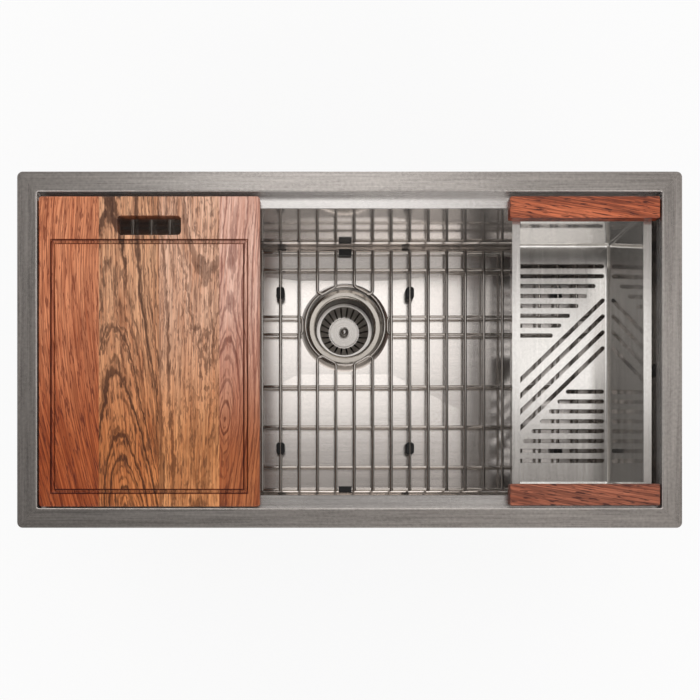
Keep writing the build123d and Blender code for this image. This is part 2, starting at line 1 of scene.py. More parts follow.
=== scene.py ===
import bpy
import bmesh
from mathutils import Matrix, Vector


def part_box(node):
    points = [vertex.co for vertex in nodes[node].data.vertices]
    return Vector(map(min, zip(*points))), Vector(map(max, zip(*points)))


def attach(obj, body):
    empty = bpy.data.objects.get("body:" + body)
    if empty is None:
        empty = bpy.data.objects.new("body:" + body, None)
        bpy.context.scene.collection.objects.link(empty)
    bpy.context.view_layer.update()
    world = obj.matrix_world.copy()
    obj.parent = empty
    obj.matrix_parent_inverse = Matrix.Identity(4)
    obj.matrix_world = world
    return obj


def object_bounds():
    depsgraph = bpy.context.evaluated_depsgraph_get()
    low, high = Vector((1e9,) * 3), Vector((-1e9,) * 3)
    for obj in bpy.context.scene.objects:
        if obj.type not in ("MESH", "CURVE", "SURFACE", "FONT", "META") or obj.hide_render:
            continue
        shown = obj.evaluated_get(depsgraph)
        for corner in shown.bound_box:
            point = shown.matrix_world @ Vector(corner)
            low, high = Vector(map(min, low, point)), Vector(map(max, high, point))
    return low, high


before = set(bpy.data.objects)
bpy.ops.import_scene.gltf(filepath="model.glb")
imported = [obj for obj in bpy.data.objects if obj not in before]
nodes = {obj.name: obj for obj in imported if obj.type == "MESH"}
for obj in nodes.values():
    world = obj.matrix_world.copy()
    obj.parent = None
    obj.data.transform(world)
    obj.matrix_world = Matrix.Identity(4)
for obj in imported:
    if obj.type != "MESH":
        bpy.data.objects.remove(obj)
cadLow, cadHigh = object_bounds()
scene = bpy.context.scene
scene.view_settings.view_transform = "Standard"
print("frame loaded:", len(nodes), "nodes")

# Camera, straight down with a shifted lens
photoCamera = {
    "imageSize": 700,  # pixels each way
    "eyePixel": (318, 497),  # the pixel straight under the lens
    "focalPixels": 1084.4,
    "place": (-0.040, -0.1861, 1.370),
    "sensor": 36.0,
}


def makeCamera(values):
    size = values["imageSize"]
    lens = bpy.data.cameras.new("photoCamera")
    lens.sensor_width = values["sensor"]
    lens.lens = values["sensor"] * values["focalPixels"] / size
    lens.shift_x = 0.5 - values["eyePixel"][0] / size
    lens.shift_y = values["eyePixel"][1] / size - 0.5
    camera = bpy.data.objects.new("photoCamera", lens)
    camera.location = values["place"]
    scene.collection.objects.link(camera)
    scene.camera = camera


makeCamera(photoCamera)
print("camera set")


# Short ways to wire up shader nodes
def addNode(tree, kind, values=None, **settings):
    node = tree.nodes.new("ShaderNode" + kind)
    for name, value in settings.items():
        setattr(node, name, value)
    for name, value in (values or {}).items():
        if isinstance(value, bpy.types.NodeSocket):
            tree.links.new(value, node.inputs[name])
        else:
            node.inputs[name].default_value = value
    return node


def calc(tree, operation, first, second=0.0, third=0.0):
    return addNode(tree, "Math", {0: first, 1: second, 2: third}, operation=operation).outputs[0]


def vectorCalc(tree, operation, first, second=(0.0, 0.0, 0.0)):
    node = addNode(tree, "VectorMath", {0: first, 1: second}, operation=operation)
    return node.outputs["Value" if operation == "DOT_PRODUCT" else "Vector"]


def scaleVector(tree, vector, amount):
    return addNode(tree, "VectorMath", {0: vector, "Scale": amount}, operation="SCALE").outputs[0]


def split(tree, vector):
    return addNode(tree, "SeparateXYZ", {0: vector}).outputs


def join(tree, x, y, z):
    return addNode(tree, "CombineXYZ", {0: x, 1: y, 2: z}).outputs[0]


def remap(tree, value, low, high, toLow=0.0, toHigh=1.0):
    limits = {"Value": value, "From Min": low, "From Max": high, "To Min": toLow, "To Max": toHigh}
    return addNode(tree, "MapRange", limits, interpolation_type="SMOOTHSTEP").outputs["Result"]


def noise(tree, vector, detail=2.0, roughness=0.5):
    values = {"Vector": vector, "Scale": 1.0, "Detail": detail, "Roughness": roughness}
    return addNode(tree, "TexNoise", values).outputs["Fac"]


def stretchedNoise(tree, vector, stretch, detail=2.0):
    return noise(tree, vectorCalc(tree, "MULTIPLY", vector, stretch), detail)


def centred(tree, value):
    return calc(tree, "SUBTRACT", value, 0.5)


def blendColor(tree, factor, first, second, way="MIX"):
    return addNode(tree, "Mix", {0: factor, 6: first, 7: second}, data_type="RGBA", blend_type=way).outputs[2]


def blendValue(tree, factor, first, second):
    return addNode(tree, "Mix", {0: factor, 2: first, 3: second}, data_type="FLOAT").outputs[0]


def shadeBy(tree, color, gain):
    grey = addNode(tree, "CombineColor", {0: gain, 1: gain, 2: gain}).outputs[0]
    return blendColor(tree, 1.0, color, grey, "MULTIPLY")


def newGroup(name, inputs, outputs):
    tree = bpy.data.node_groups.new(name, "ShaderNodeTree")
    for label, kind, value in inputs:
        socket = tree.interface.new_socket(label, in_out="INPUT", socket_type="NodeSocket" + kind)
        socket.default_value = value
    for label, kind in outputs:
        tree.interface.new_socket(label, in_out="OUTPUT", socket_type="NodeSocket" + kind)
    start = tree.nodes.new("NodeGroupInput")
    end = tree.nodes.new("NodeGroupOutput")
    return tree, start.outputs, end.inputs


def newMaterial(name, **constants):
    material = bpy.data.materials.new(name)
    material.use_nodes = True
    tree = material.node_tree
    tree.nodes.clear()
    shader = addNode(tree, "BsdfPrincipled", constants)
    addNode(tree, "OutputMaterial", {"Surface": shader.outputs["BSDF"]})
    return material, tree, shader.inputs


def objectPoint(tree):
    return addNode(tree, "TexCoord").outputs["Object"]


def surfaceNormal(tree):
    return addNode(tree, "NewGeometry").outputs["Normal"]


def applyFinish(tree, shader, finish, strength, distance):
    tree.links.new(finish["Color"], shader["Base Color"])
    tree.links.new(finish["Roughness"], shader["Roughness"])
    bump = addNode(tree, "Bump", {"Height": finish["Height"], "Strength": strength, "Distance": distance})
    tree.links.new(bump.outputs["Normal"], shader["Normal"])


def applyGroup(tree, shader, group, given, values):
    finish = addNode(tree, "Group", given, node_tree=group).outputs
    applyFinish(tree, shader, finish, values["bump"], values["bumpDepth"])


def addShape(name, shape, material):
    mesh = bpy.data.meshes.new(name)
    shape.to_mesh(mesh)
    shape.free()
    mesh.materials.append(material)
    piece = bpy.data.objects.new(name, mesh)
    scene.collection.objects.link(piece)
    return piece


finishOutputs = [("Color", "Color"), ("Roughness", "Float"), ("Height", "Float")]


# Brushed sheet: fine lines along one way, mottling, faint smudges and a slow change of tone
sheetGrain = {
    "broadStretch": 0.3,
    "broadShare": 0.4,
    "mottleScale": (260.0, 260.0, 260.0),
    "mottleShare": 0.5,
    "cloudScale": (7.0, 7.0, 7.0),
    "cloudTone": 0.16,
    "lineRoughness": 0.12,
    "cloudRoughness": 0.07,
}


def makeSheetFinish(values):
    tree, given, out = newGroup(
        "sheetFinish",
        [
            ("Vector", "Vector", (0, 0, 0)),
            ("Lines", "Vector", (10, 450, 450)),
            ("Tone", "Color", (0.6, 0.6, 0.6, 1)),
            ("Roughness", "Float", 0.25),
            ("Contrast", "Float", 0.5),
        ],
        finishOutputs,
    )
    point = given["Vector"]
    laid = vectorCalc(tree, "MULTIPLY", point, given["Lines"])
    fine = noise(tree, laid, 3.0, 0.6)
    broad = noise(tree, scaleVector(tree, laid, values["broadStretch"]), 2.0)
    mottle = centred(tree, stretchedNoise(tree, point, values["mottleScale"], 3.0))
    cloud = centred(tree, stretchedNoise(tree, point, values["cloudScale"], 4.0))
    lines = centred(tree, blendValue(tree, values["broadShare"], fine, broad))
    uneven = calc(tree, "MULTIPLY_ADD", mottle, values["mottleShare"], lines)
    gain = calc(tree, "MULTIPLY_ADD", uneven, given["Contrast"], 1.0)
    gain = calc(tree, "MULTIPLY_ADD", cloud, values["cloudTone"], gain)
    tree.links.new(shadeBy(tree, given["Tone"], gain), out["Color"])
    rough = calc(tree, "MULTIPLY_ADD", lines, values["lineRoughness"], given["Roughness"])
    tree.links.new(calc(tree, "MULTIPLY_ADD", cloud, values["cloudRoughness"], rough), out["Roughness"])
    tree.links.new(uneven, out["Height"])
    return tree


# Turned metal: rings round the drain's axis
bodyLow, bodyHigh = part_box("strainer_body")
drainCentre = (bodyLow + bodyHigh) / 2
turnedGrain = {
    "cloudScale": (60.0, 60.0, 60.0),
    "cloudTone": 0.2,
    "ringRoughness": 0.14,
    "cloudRoughness": 0.06,
}


def lengthSquared(tree, first, second):
    return calc(tree, "ADD", calc(tree, "MULTIPLY", first, first), calc(tree, "MULTIPLY", second, second))


def makeTurnedFinish(values):
    tree, given, out = newGroup(
        "turnedFinish",
        [
            ("Vector", "Vector", (0, 0, 0)),
            ("Tone", "Color", (0.6, 0.6, 0.6, 1)),
            ("Roughness", "Float", 0.2),
            ("Ring Step", "Float", 900.0),
            ("Contrast", "Float", 0.5),
        ],
        finishOutputs,
    )
    flat = split(tree, vectorCalc(tree, "SUBTRACT", given["Vector"], (drainCentre.x, drainCentre.y, 0.0)))
    ringed = join(tree, calc(tree, "SQRT", lengthSquared(tree, flat[0], flat[1])), 0.0, flat[2])
    rings = centred(tree, noise(tree, scaleVector(tree, ringed, given["Ring Step"]), 3.0, 0.6))
    cloud = centred(tree, stretchedNoise(tree, given["Vector"], values["cloudScale"], 3.0))
    gain = calc(tree, "MULTIPLY_ADD", rings, given["Contrast"], 1.0)
    gain = calc(tree, "MULTIPLY_ADD", cloud, values["cloudTone"], gain)
    tree.links.new(shadeBy(tree, given["Tone"], gain), out["Color"])
    rough = calc(tree, "MULTIPLY_ADD", rings, values["ringRoughness"], given["Roughness"])
    tree.links.new(calc(tree, "MULTIPLY_ADD", cloud, values["cloudRoughness"], rough), out["Roughness"])
    tree.links.new(rings, out["Height"])
    return tree


# Sawn wood with its grain along Y: growth rings round a slanted heart, fibres, pores and dark streaks
def makeWoodFigure():
    tree, given, out = newGroup(
        "woodFigure",
        [
            ("Vector", "Vector", (0, 0, 0)),
            ("Heart", "Vector", (0, 0, 0.05)),
            ("Rise", "Float", 0.0),
            ("Rise Length", "Float", 0.02),
            ("Lean", "Float", 0.0),
            ("Sweep", "Float", 0.0),
            ("Ring Gap", "Float", 0.004),
            ("Wobble", "Float", 0.012),
            ("Jag", "Float", 0.003),
            ("Pale", "Color", (0.4, 0.15, 0.06, 1)),
            ("Deep", "Color", (0.25, 0.07, 0.03, 1)),
            ("Streak", "Color", (0.07, 0.03, 0.02, 1)),
            ("Ring Amount", "Float", 0.4),
            ("Streak Amount", "Float", 0.3),
            ("Pore Amount", "Float", 0.6),
        ],
        finishOutputs,
    )
    point = given["Vector"]
    place = split(tree, point)
    heart = split(tree, given["Heart"])
    along = calc(tree, "SUBTRACT", place[1], heart[1])
    reach = calc(tree, "ABSOLUTE", along)
    drift = centred(tree, stretchedNoise(tree, point, (16.0, 4.0, 16.0), 3.0))
    lean = calc(tree, "MULTIPLY_ADD", along, given["Sweep"], given["Lean"])
    lean = calc(tree, "MULTIPLY", along, lean)
    sideways = calc(tree, "SUBTRACT", calc(tree, "SUBTRACT", place[0], heart[0]), lean)
    sideways = calc(tree, "MULTIPLY_ADD", drift, given["Wobble"], sideways)
    fall = calc(tree, "DIVIDE", reach, given["Rise Length"])
    fade = calc(tree, "EXPONENT", calc(tree, "MULTIPLY", fall, -1.0))
    rise = calc(tree, "MULTIPLY", calc(tree, "SUBTRACT", 1.0, fade), given["Rise"])
    roll = centred(tree, stretchedNoise(tree, point, (6.0, 9.0, 6.0), 2.0))
    depth = calc(tree, "MULTIPLY_ADD", roll, given["Wobble"], calc(tree, "ADD", heart[2], rise))
    squares = lengthSquared(tree, sideways, depth)
    jag = centred(tree, stretchedNoise(tree, point, (230.0, 70.0, 230.0), 2.0))
    radius = calc(tree, "MULTIPLY_ADD", jag, given["Jag"], calc(tree, "SQRT", squares))
    flow = join(tree, sideways, place[1], place[2])

    def ringNoise(across, lengthwise, shift, detail):
        across = calc(tree, "MULTIPLY_ADD", radius, across, shift)
        return noise(tree, join(tree, across, calc(tree, "MULTIPLY", place[1], lengthwise), shift), detail)

    def ringLines(gap, width, shift):
        rings = calc(tree, "DIVIDE", radius, gap)
        count = calc(tree, "MULTIPLY_ADD", ringNoise(60.0, 0.6, shift, 1.0), 2.4, rings)
        away = calc(tree, "ABSOLUTE", centred(tree, calc(tree, "FRACT", count)))
        return remap(tree, away, width, width * 0.3)

    def thinLines(stretch, width):
        away = calc(tree, "ABSOLUTE", centred(tree, stretchedNoise(tree, flow, stretch, 2.0)))
        return remap(tree, away, width, width * 0.2)

    broken = remap(tree, stretchedNoise(tree, flow, (190.0, 34.0, 190.0), 2.0), 0.40, 0.56)
    strength = remap(tree, ringNoise(95.0, 3.0, 7.3, 2.0), 0.36, 0.58, 0.25, 1.0)
    line = calc(tree, "MULTIPLY", ringLines(given["Ring Gap"], 0.16, 9.1), strength)
    fineGap = calc(tree, "MULTIPLY", given["Ring Gap"], 0.42)
    fineLine = calc(tree, "MULTIPLY", ringLines(fineGap, 0.24, 3.7), calc(tree, "MULTIPLY", broken, 0.75))
    band = remap(tree, ringNoise(85.0, 1.3, 1.7, 3.0), 0.30, 0.70)
    streak = remap(tree, ringNoise(190.0, 2.2, 4.9, 3.0), 0.53, 0.64)
    patch = centred(tree, stretchedNoise(tree, point, (22.0, 9.0, 22.0), 3.0))
    fibre = stretchedNoise(tree, flow, (460.0, 16.0, 460.0), 4.0)
    hair = calc(tree, "MULTIPLY", thinLines((250.0, 7.0, 250.0), 0.085), 0.55)
    pore = remap(tree, stretchedNoise(tree, flow, (560.0, 60.0, 560.0), 2.0), 0.56, 0.65)

    tone = calc(tree, "MULTIPLY_ADD", band, 0.45, 0.12)
    tone = calc(tree, "MULTIPLY_ADD", patch, 1.1, tone)
    tone = calc(tree, "MULTIPLY_ADD", centred(tree, fibre), 2.2, tone)
    tone = calc(tree, "MINIMUM", calc(tree, "MAXIMUM", tone, 0.0), 1.0)
    color = blendColor(tree, tone, given["Pale"], given["Deep"])
    masks = (line, "Ring"), (fineLine, "Ring"), (streak, "Streak"), (hair, "Pore"), (pore, "Pore")
    for mask, amount in masks:
        share = calc(tree, "MULTIPLY", mask, given[amount + " Amount"])
        color = blendColor(tree, share, color, given["Streak"])
    tree.links.new(color, out["Color"])
    rough = calc(tree, "MULTIPLY_ADD", fibre, 0.16, 0.30)
    tree.links.new(calc(tree, "MULTIPLY_ADD", pore, 0.14, rough), out["Roughness"])
    height = calc(tree, "MULTIPLY_ADD", pore, -0.8, fibre)
    tree.links.new(calc(tree, "MULTIPLY_ADD", line, -0.3, height), out["Height"])
    return tree


# Moulded rubber: fine pebbles, dust and scuffs
rubberGrain = {
    "dustScale": (70.0, 70.0, 70.0),
    "dustStart": 0.48,
    "dustEnd": 0.75,
    "dustShare": 0.35,
    "roughness": 0.48,
    "unevenRoughness": 0.15,
}


def makeRubberSkin(values):
    tree, given, out = newGroup(
        "rubberSkin",
        [
            ("Vector", "Vector", (0, 0, 0)),
            ("Tone", "Color", (0.02, 0.02, 0.02, 1)),
            ("Dust", "Color", (0.12, 0.11, 0.10, 1)),
            ("Pebbles", "Float", 900.0),
        ],
        finishOutputs,
    )
    pebble = noise(tree, scaleVector(tree, given["Vector"], given["Pebbles"]), 2.0)
    spread = stretchedNoise(tree, given["Vector"], values["dustScale"], 5.0)
    dusty = remap(tree, spread, values["dustStart"], values["dustEnd"])
    share = calc(tree, "MULTIPLY", dusty, values["dustShare"])
    tree.links.new(blendColor(tree, share, given["Tone"], given["Dust"]), out["Color"])
    rough = calc(tree, "MULTIPLY_ADD", pebble, values["unevenRoughness"], values["roughness"])
    tree.links.new(calc(tree, "MULTIPLY_ADD", dusty, values["unevenRoughness"], rough), out["Roughness"])
    tree.links.new(pebble, out["Height"])
    return tree


sheetFinish = makeSheetFinish(sheetGrain)
turnedFinish = makeTurnedFinish(turnedGrain)
woodFigure = makeWoodFigure()
rubberSkin = makeRubberSkin(rubberGrain)
print("shared finishes made")


def dress(material, *names):
    for name in names:
        data = nodes[name].data
        data.materials.clear()
        data.materials.append(material)


# Bowl
bowlLooks = {
    "metallic": 0.87,
    "tone": (0.74, 0.695, 0.66, 1),
    # painted light and shade: the ledge and rim get their own tones of the same steel, the rim a much darker
    # one
    "ledgePaintedTone": (0.64, 0.616, 0.598, 1),
    "rimPaintedTone": (0.41, 0.380, 0.357, 1),
    # painted shade on the dish round the drain
    "sumpShadeTone": (0.24, 0.22, 0.20, 1),
    "outsideTone": (0.50, 0.49, 0.475, 1),
    "rimRoughness": 0.28,
    "ledgeRoughness": 0.27,
    "floorRoughness": 0.185,
    "wallRoughness": 0.07,
    "sumpRoughness": 0.24,
    "sumpRadius": 0.0635,
    "outsideRoughness": 0.46,
    "rimContrast": 1.4,
    "ledgeContrast": 0.6,
    "insideContrast": 0.32,
    "linesAlongX": (10.0, 450.0, 450.0),
    "linesAlongY": (450.0, 10.0, 450.0),
    "rimDepth": 0.001,  # how far below the top face the rim's finish goes
    "ledgeDepth": 0.0225,
    "edgeBlend": 0.002,
    "mitreBlend": 0.001,
    "outsideBlend": 0.02,
    "outsideDrop": 0.5,  # how much facing down counts as facing out
    "steepTilt": (0.6, 0.8),
    "levelTilt": (0.8, 0.95),
    "bump": 0.02,
    "bumpDepth": 0.0005,
}


def makeBowlSteel(values):
    material, tree, shader = newMaterial("bowlSteel", Metallic=values["metallic"])
    point = objectPoint(tree)
    facing = surfaceNormal(tree)
    place = split(tree, point)
    endWall = remap(tree, calc(tree, "ABSOLUTE", split(tree, facing)[0]), *values["steepTilt"])
    beyondEnd = calc(tree, "SUBTRACT", calc(tree, "ABSOLUTE", place[0]), cadHigh.x)
    beyondSide = calc(tree, "SUBTRACT", calc(tree, "ABSOLUTE", place[1]), cadHigh.y)
    onRim = remap(tree, place[2], -2 * values["rimDepth"], -values["rimDepth"])
    mitre = calc(tree, "SUBTRACT", beyondEnd, beyondSide)
    endRim = remap(tree, mitre, -values["mitreBlend"], values["mitreBlend"])
    crosswise = calc(tree, "MAXIMUM", endWall, calc(tree, "MULTIPLY", endRim, onRim))
    ways = {0: crosswise, 4: values["linesAlongX"], 5: values["linesAlongY"]}
    lines = addNode(tree, "Mix", ways, data_type="VECTOR").outputs[1]
    outward = join(tree, place[0], place[1], -values["outsideDrop"])
    facingOut = vectorCalc(tree, "DOT_PRODUCT", facing, outward)
    outside = remap(tree, facingOut, -values["outsideBlend"], values["outsideBlend"])
    aboveLedge = remap(tree, place[2], -values["ledgeDepth"] - values["edgeBlend"], -values["ledgeDepth"])
    level = remap(tree, split(tree, facing)[2], *values["levelTilt"])
    rough = blendValue(tree, level, values["wallRoughness"], values["floorRoughness"])
    rough = blendValue(tree, aboveLedge, rough, values["ledgeRoughness"])
    rough = blendValue(tree, onRim, rough, values["rimRoughness"])
    rough = blendValue(tree, outside, rough, values["outsideRoughness"])
    flat = vectorCalc(tree, "SUBTRACT", point, (drainCentre.x, drainCentre.y, 0.0))
    flat = vectorCalc(tree, "MULTIPLY", flat, (1.0, 1.0, 0.0))
    away = addNode(tree, "VectorMath", {0: flat}, operation="LENGTH").outputs["Value"]
    sumpEnds = values["sumpRadius"] + values["edgeBlend"], values["sumpRadius"] - values["edgeBlend"]
    sump = remap(tree, away, *sumpEnds)
    rough = blendValue(tree, sump, rough, values["sumpRoughness"])
    contrast = blendValue(tree, aboveLedge, values["insideContrast"], values["ledgeContrast"])
    contrast = blendValue(tree, onRim, contrast, values["rimContrast"])
    # painted light and shade on the ledge and rim
    tone = blendColor(tree, aboveLedge, values["tone"], values["ledgePaintedTone"])
    tone = blendColor(tree, onRim, tone, values["rimPaintedTone"])
    # painted shade on the dish round the drain
    tone = blendColor(tree, sump, tone, values["sumpShadeTone"])
    tone = blendColor(tree, outside, tone, values["outsideTone"])
    given = {"Vector": point, "Lines": lines, "Tone": tone, "Roughness": rough, "Contrast": contrast}
    applyGroup(tree, shader, sheetFinish, given, values)
    return material


dress(makeBowlSteel(bowlLooks), "sink_bowl")
print("bowl dressed")


# Colander pan and its screws
panLooks = {
    "metallic": 0.87,
    "tone": (0.65, 0.63, 0.605, 1),
    # painted shade on the pan's downward faces
    "underShadeTone": (0.20, 0.19, 0.18, 1),
    "floorRoughness": 0.17,
    "wallRoughness": 0.07,
    "underRoughness": 0.50,
    "contrast": 0.5,
    "lines": (420.0, 12.0, 420.0),
    "levelTilt": (0.8, 0.95),
    "underTilt": (-0.3, -0.7),
    "bump": 0.02,
    "bumpDepth": 0.0005,
}
screwLooks = {
    "metallic": 0.96,
    "tone": (0.52, 0.52, 0.51, 1),
    "roughness": 0.30,
    "lines": (900.0, 900.0, 60.0),
    "contrast": 0.3,
    "bump": 0.10,
    "bumpDepth": 0.0005,
}


def makeSheetSteel(name, values):
    material, tree, shader = newMaterial(name, Metallic=values["metallic"])
    given = {"Vector": objectPoint(tree)}
    for label in ("Lines", "Tone", "Roughness", "Contrast"):
        given[label] = values[label.lower()]
    applyGroup(tree, shader, sheetFinish, given, values)
    return material


def makePanSteel(values):
    material, tree, shader = newMaterial("panSteel", Metallic=values["metallic"])
    upward = split(tree, surfaceNormal(tree))[2]
    level = remap(tree, upward, *values["levelTilt"])
    below = remap(tree, upward, *values["underTilt"])
    rough = blendValue(tree, level, values["wallRoughness"], values["floorRoughness"])
    given = {
        "Vector": objectPoint(tree),
        "Lines": values["lines"],
        # painted shade on the downward faces
        "Tone": blendColor(tree, below, values["tone"], values["underShadeTone"]),
        "Roughness": blendValue(tree, below, rough, values["underRoughness"]),
        "Contrast": values["contrast"],
    }
    applyGroup(tree, shader, sheetFinish, given, values)
    return material


dress(makePanSteel(panLooks), "colander_pan")
dress(makeSheetSteel("screwSteel", screwLooks), "colander_screws")
print("colander steel dressed")


# Bottom grid
wireLooks = {
    "metallic": 0.96,
    # a darkened tone: painted shade standing in for the dark surroundings the wires reflect
    "tone": (0.48, 0.446, 0.415, 1),
    "roughness": 0.09,
    "lines": (260.0, 260.0, 260.0),
    "contrast": 0.3,
    "bump": 0.05,
    "bumpDepth": 0.0005,
}
footLooks = {
    "tone": (0.012, 0.012, 0.013, 1),
    "dust": (0.06, 0.055, 0.05, 1),
    "pebbles": 900.0,
    "bump": 0.25,
    "bumpDepth": 0.0005,
}


def makeRubber(name, values):
    material, tree, shader = newMaterial(name)
    given = {"Vector": objectPoint(tree)}
    for label in ("Tone", "Dust", "Pebbles"):
        given[label] = values[label.lower()]
    applyGroup(tree, shader, rubberSkin, given, values)
    return material


wireSteel = makeSheetSteel("wireSteel", wireLooks)
dress(wireSteel, "grid_frame", "grid_cross_wires", "grid_long_wires", "grid_drain_ring")
dress(makeRubber("footRubber", footLooks), "grid_feet", "grid_bumpers")


# Weld spots where the wires cross
weldLooks = {
    "crossPitch": 0.02725,
    "crossCount": 14,  # to each side of the middle
    "openPairs": 2,  # the wires that stop at the drain ring
    "longRows": (-0.1419, -0.0825, -0.0231, 0.1494),
    "pairRows": (0.054, 0.080),
    "frameRows": (-0.175, 0.175),
    "height": -0.2301,
    "size": (0.0029, 0.0027, 0.0014),
}


def makeWelds(values):
    shape = bmesh.new()
    for index in range(values["crossCount"]):
        rows = values["longRows"] + values["frameRows"]
        if index >= values["openPairs"]:
            rows += values["pairRows"]
        for side in (-1, 1):
            for row in rows:
                place = Vector((side * (index + 0.5) * values["crossPitch"], row, values["height"]))
                spot = bmesh.ops.create_uvsphere(shape, u_segments=8, v_segments=4, radius=1.0)["verts"]
                bmesh.ops.scale(shape, verts=spot, vec=values["size"])
                bmesh.ops.translate(shape, verts=spot, vec=place)
    for face in shape.faces:
        face.smooth = True
    welds = addShape("gridWelds", shape, wireSteel)
    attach(welds, "grid")


makeWelds(weldLooks)
print("grid dressed")


# Strainer, basket and stopper
bareSteel = {
    "metallic": 0.86, "tone": (0.42, 0.385, 0.345, 1), "roughness": 0.20, "contrast": 0.6, "bump": 0.12,
}
# Inside the strainer's cup: a rougher, dull finish, and a dark tone that is painted shade
cupShadeLooks = {
    "tone": (0.16, 0.138, 0.12, 1),
    "roughness": 0.40,
    "start": 0.003,  # below the flange's top
    "blend": 0.002,
}
turnedLooks = {
    "turnedSteel": {**bareSteel, "nodes": ("stopper_washer", "stopper_nut")},
    "bodySteel": {**bareSteel, "cup": cupShadeLooks, "nodes": ("strainer_body",)},
    "knobSteel": {
        "metallic": 0.86, "tone": (0.62, 0.61, 0.59, 1), "roughness": 0.10, "contrast": 0.2, "bump": 0.04,
        "nodes": ("pull_knob", "stopper_stem"),
    },
    "basketSteel": {
        "metallic": 0.86, "tone": (0.72, 0.685, 0.65, 1), "roughness": 0.30, "contrast": 0.5, "bump": 0.12,
        "nodes": ("strainer_basket",),
    },
    "discSteel": {
        "metallic": 0.86, "tone": (0.52, 0.492, 0.462, 1), "roughness": 0.26, "contrast": 1.0, "bump": 0.15,
        "nodes": ("basket_disc",),
    },
}
turnedBumpDepth = 0.0003
nutLooks = {
    "metallic": 0.85,
    "tone": (0.34, 0.34, 0.33, 1),
    "wornGain": 1.5,
    "grainScale": (800.0, 800.0, 800.0),
    "patchScale": (60.0, 60.0, 60.0),
    "patchRange": (0.4, 0.7),
    "roughness": 0.42,
    "grainRoughness": 0.2,
    "bump": 0.35,
    "bumpDepth": 0.0006,
}
fibreLooks = {
    "tone": (0.30, 0.20, 0.11, 1),
    "fleck": (0.55, 0.44, 0.30, 1),
    "strandScale": (900.0, 260.0, 900.0),
    "fleckRange": (0.50, 0.66),
    "roughness": 0.62,
    "strandRoughness": 0.2,
    "bump": 0.3,
    "bumpDepth": 0.0004,
}
sealLooks = {
    "tone": (0.020, 0.020, 0.021, 1),
    "dust": (0.10, 0.10, 0.10, 1),
    "pebbles": 1100.0,
    "bump": 0.20,
    "bumpDepth": 0.0005,
}


def makeTurnedSteel(name, values):
    material, tree, shader = newMaterial(name, Metallic=values["metallic"])
    point = objectPoint(tree)
    tone, roughness = values["tone"], values["roughness"]
    if "cup" in values:
        cup = values["cup"]
        start = bodyHigh.z - cup["start"]
        # painted shade in the cup, below the flange's top
        inShadedCup = remap(tree, split(tree, point)[2], start, start - cup["blend"])
        tone = blendColor(tree, inShadedCup, tone, cup["tone"])
        roughness = blendValue(tree, inShadedCup, roughness, cup["roughness"])
    given = {"Vector": point, "Tone": tone, "Roughness": roughness, "Contrast": values["contrast"]}
    applyGroup(tree, shader, turnedFinish, given, {"bump": values["bump"], "bumpDepth": turnedBumpDepth})
    return material


def makeCastNut(values):
    material, tree, shader = newMaterial("castNut", Metallic=values["metallic"])
    point = objectPoint(tree)
    grain = stretchedNoise(tree, point, values["grainScale"], 4.0)
    patch = remap(tree, stretchedNoise(tree, point, values["patchScale"], 4.0), *values["patchRange"])
    worn = tuple(channel * values["wornGain"] for channel in values["tone"][:3]) + (1,)
    look = {
        "Color": blendColor(tree, patch, values["tone"], worn),
        "Roughness": calc(tree, "MULTIPLY_ADD", grain, values["grainRoughness"], values["roughness"]),
        "Height": grain,
    }
    applyFinish(tree, shader, look, values["bump"], values["bumpDepth"])
    return material


def makeSlipFibre(values):
    material, tree, shader = newMaterial("slipFibre")
    strands = stretchedNoise(tree, objectPoint(tree), values["strandScale"], 5.0)
    fleck = remap(tree, strands, *values["fleckRange"])
    look = {
        "Color": blendColor(tree, fleck, values["tone"], values["fleck"]),
        "Roughness": calc(tree, "MULTIPLY_ADD", strands, values["strandRoughness"], values["roughness"]),
        "Height": strands,
    }
    applyFinish(tree, shader, look, values["bump"], values["bumpDepth"])
    return material


turnedSteels = {name: makeTurnedSteel(name, values) for name, values in turnedLooks.items()}
for name, values in turnedLooks.items():
    dress(turnedSteels[name], *values["nodes"])
dress(makeCastNut(nutLooks), "lock_nut")
dress(makeSlipFibre(fibreLooks), "friction_ring")
dress(makeRubber("sealRubber", sealLooks), "flange_seal", "strainer_gasket", "stem_ring", "stopper_seal")


# Thread on the strainer's tail
threadLooks = {
    "radius": 0.0239,
    "depth": 0.0008,
    "pitch": 0.0024,
    "top": -0.3300,
    "turns": 8,
    "steps": 72,
    "fullTurn": 6.283185,
}


def makeTailThread(values):
    shape = bmesh.new()
    crests = []
    for index in range(2 * values["turns"] + 1):
        reach = values["radius"] + values["depth"] * (index % 2)
        height = values["top"] - index * values["pitch"] / 2
        crests.append(shape.verts.new((drainCentre.x + reach, drainCentre.y, height)))
    edges = [shape.edges.new(pair) for pair in zip(crests, crests[1:])]
    bmesh.ops.spin(
        shape,
        geom=crests + edges,
        cent=drainCentre,
        axis=(0.0, 0.0, 1.0),
        angle=values["fullTurn"],
        steps=values["steps"],
        use_merge=True,
    )
    bmesh.ops.recalc_face_normals(shape, faces=shape.faces)
    thread = addShape("tailThread", shape, turnedSteels["turnedSteel"])
    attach(thread, "sink")


makeTailThread(threadLooks)
print("strainer dressed")


# Sound pads
padLooks = {
    "tone": (0.045, 0.045, 0.047, 1),
    "dust": (0.14, 0.135, 0.13, 1),
    "pebbles": 420.0,
    "bump": 0.5,
    "bumpDepth": 0.0005,
}
dress(makeRubber("soundPad", padLooks), *[name for name in nodes if "_pad_" in name])
print("pads dressed")


